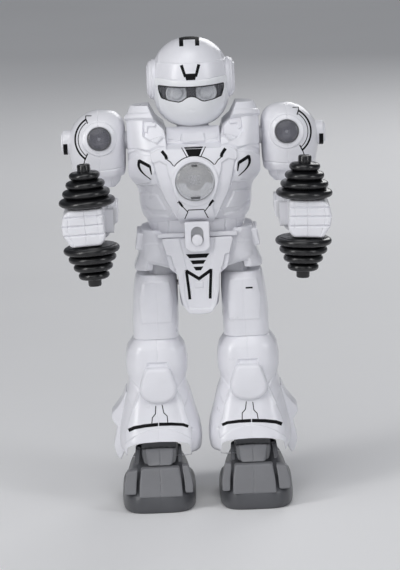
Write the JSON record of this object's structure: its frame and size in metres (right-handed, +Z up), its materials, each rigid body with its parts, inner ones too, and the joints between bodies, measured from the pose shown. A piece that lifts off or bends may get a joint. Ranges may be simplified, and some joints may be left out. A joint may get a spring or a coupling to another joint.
{
  "type": "walking toy robot",
  "caption": "Walking humanoid toy robot in pearl white with smoked visor, round chest lamp, lamp shoulders, black stacked-disc dumbbells in its fists and grey feet.",
  "frame": {"origin": "on the floor under the centre of the bounding box", "axes": "+Z up, the robot faces -Y, its own left side is +X"},
  "size_m": [0.1518, 0.0958, 0.263],
  "materials": {
    "white_plastic": "semi-gloss moulded plastic with a pearl tint",
    "face_plastic": "semi-gloss moulded plastic",
    "grey_plastic": "satin moulded plastic",
    "black_gloss": "high-gloss moulded plastic",
    "black_plastic": "satin moulded plastic",
    "clear_lens": "clear moulded lens",
    "smoke_lens": "smoked moulded lens",
    "lamp_lens": "grey tinted moulded lens",
    "circuit_board": "solder-masked board",
    "steel": "plain steel",
    "gear_plastic": "unpainted nylon",
    "cell_jacket": "printed foil jacket",
    "wire": "flexible insulation",
    "rubber": "moulded rubber"
  },
  "bodies": {
    "torso": {"chest_front": "white_plastic", "chest_back": "white_plastic", "collar": "white_plastic", "chest_lens": "clear_lens", "circuit_boards": "circuit_board", "waist_band": "white_plastic", "pelvis_front": "white_plastic", "pelvis_back": "white_plastic", "crotch_plate": "white_plastic", "switch_plate": "white_plastic", "switch_body": "black_plastic", "hip_guards": "white_plastic", "speaker": "black_plastic", "battery_box": "black_plastic", "batteries": "cell_jacket", "battery_contacts": "steel", "screws": "steel", "gearbox_frame": "black_plastic", "motor": "steel", "hip_pins": "steel", "wiring": "wire"},
    "switch_slider": {"switch_knob": "white_plastic"},
    "battery_cover": {"battery_door": "white_plastic", "door_screw": "steel"},
    "pinion": {"motor_pinion": "steel"},
    "gear_one": {"first_gear": "gear_plastic"},
    "gear_two": {"second_gear": "gear_plastic"},
    "crank": {"crankshaft": "steel"},
    "head": {"helmet": "white_plastic", "face_guard": "face_plastic", "visor": "smoke_lens", "eye_reflectors": "grey_plastic", "ear_caps": "white_plastic", "neck_post": "grey_plastic"},
    "left_arm": {"shoulder_inner_left": "white_plastic", "shoulder_outer_left": "white_plastic", "shoulder_lens_left": "lamp_lens", "upper_arm_left": "white_plastic"},
    "left_forearm": {"forearm_left": "white_plastic"},
    "left_dumbbell": {"dumbbell_top_left": "black_gloss", "dumbbell_bottom_left": "black_gloss"},
    "left_leg": {"thigh_left": "white_plastic", "boot_left": "white_plastic", "knee_cap_left": "white_plastic"},
    "left_foot": {"foot_left": "grey_plastic", "foot_sole_left": "grey_plastic"},
    "left_rollers": {"foot_roller_left": "rubber"},
    "right_arm": {"shoulder_inner_right": "white_plastic", "shoulder_outer_right": "white_plastic", "shoulder_lens_right": "lamp_lens", "upper_arm_right": "white_plastic"},
    "right_forearm": {"forearm_right": "white_plastic"},
    "right_dumbbell": {"dumbbell_top_right": "black_gloss", "dumbbell_bottom_right": "black_gloss"},
    "right_leg": {"thigh_right": "white_plastic", "boot_right": "white_plastic", "knee_cap_right": "white_plastic"},
    "right_foot": {"foot_right": "grey_plastic", "foot_sole_right": "grey_plastic"},
    "right_rollers": {"foot_roller_right": "rubber"}
  },
  "joints": [
    {"name": "head_turn", "type": "hinge", "parent": "torso", "child": "head", "pos_m": [0, 0.018, 0.21], "axis": [0, 0, 1], "range_deg": [-70, 70]},
    {"name": "switch_slide", "type": "slide", "parent": "torso", "child": "switch_slider", "axis": [0, 0, 1], "range_m": [0, 0.004]},
    {"name": "battery_cover_pull", "type": "slide", "parent": "torso", "child": "battery_cover", "axis": [0, 1, 0], "range_m": [0, 0.03]},
    {"name": "crank_spin", "type": "hinge", "parent": "torso", "child": "crank", "pos_m": [0, 0.018, 0.12651], "axis": [1, 0, 0], "continuous": true},
    {"name": "gear_two_spin", "type": "hinge", "parent": "torso", "child": "gear_two", "pos_m": [0, 0.021, 0.1372], "axis": [1, 0, 0], "continuous": true},
    {"name": "gear_one_spin", "type": "hinge", "parent": "torso", "child": "gear_one", "pos_m": [0, 0.018, 0.1484], "axis": [1, 0, 0], "continuous": true},
    {"name": "pinion_spin", "type": "hinge", "parent": "torso", "child": "pinion", "pos_m": [0, 0.018, 0.16], "axis": [1, 0, 0], "continuous": true},
    {"name": "left_shoulder", "type": "hinge", "parent": "torso", "child": "left_arm", "pos_m": [0.045, 0.018, 0.206], "axis": [1, 0, 0], "range_deg": [-90, 60]},
    {"name": "left_elbow", "type": "hinge", "parent": "left_arm", "child": "left_forearm", "pos_m": [0.055, 0.02, 0.168], "axis": [1, 0, 0], "range_deg": [-20, 35]},
    {"name": "left_dumbbell_spin", "type": "hinge", "parent": "left_forearm", "child": "left_dumbbell", "pos_m": [0.0595, -0.032, 0.1662], "axis": [0.0523, 0, 0.9986], "continuous": true},
    {"name": "right_shoulder", "type": "hinge", "parent": "torso", "child": "right_arm", "pos_m": [-0.045, 0.018, 0.206], "axis": [1, 0, 0], "range_deg": [-90, 60]},
    {"name": "right_elbow", "type": "hinge", "parent": "right_arm", "child": "right_forearm", "pos_m": [-0.055, 0.02, 0.168], "axis": [1, 0, 0], "range_deg": [-20, 35]},
    {"name": "right_dumbbell_spin", "type": "hinge", "parent": "right_forearm", "child": "right_dumbbell", "pos_m": [-0.0595, -0.032, 0.1662], "axis": [-0.0523, 0, 0.9986], "continuous": true},
    {"name": "left_hip", "type": "hinge", "parent": "torso", "child": "left_leg", "pos_m": [0.02, 0.018, 0.146], "axis": [1, 0, 0], "range_deg": [-8, 8]},
    {"name": "right_hip", "type": "hinge", "parent": "torso", "child": "right_leg", "pos_m": [-0.02, 0.018, 0.146], "axis": [1, 0, 0], "range_deg": [-8, 8]},
    {"name": "left_ankle", "type": "hinge", "parent": "left_leg", "child": "left_foot", "pos_m": [0.026, 0.018, 0.042], "axis": [1, 0, 0], "range_deg": [-8, 8]},
    {"name": "left_roller_spin", "type": "hinge", "parent": "left_foot", "child": "left_rollers", "pos_m": [0.0275, 0.03, 0.0048], "axis": [1, 0, 0], "continuous": true},
    {"name": "right_ankle", "type": "hinge", "parent": "right_leg", "child": "right_foot", "pos_m": [-0.026, 0.018, 0.042], "axis": [1, 0, 0], "range_deg": [-8, 8]},
    {"name": "right_roller_spin", "type": "hinge", "parent": "right_foot", "child": "right_rollers", "pos_m": [-0.0275, 0.03, 0.0048], "axis": [1, 0, 0], "continuous": true}
  ],
  "couplings": [
    {"joint": "gear_two_spin", "follows": "crank_spin", "ratio": -3.4},
    {"joint": "gear_one_spin", "follows": "crank_spin", "ratio": 12.24},
    {"joint": "pinion_spin", "follows": "crank_spin", "ratio": -44.064},
    {"joint": "right_hip", "follows": "left_hip", "ratio": -1},
    {"joint": "left_ankle", "follows": "left_hip", "ratio": -1},
    {"joint": "right_ankle", "follows": "left_hip", "ratio": 1}
  ]
}
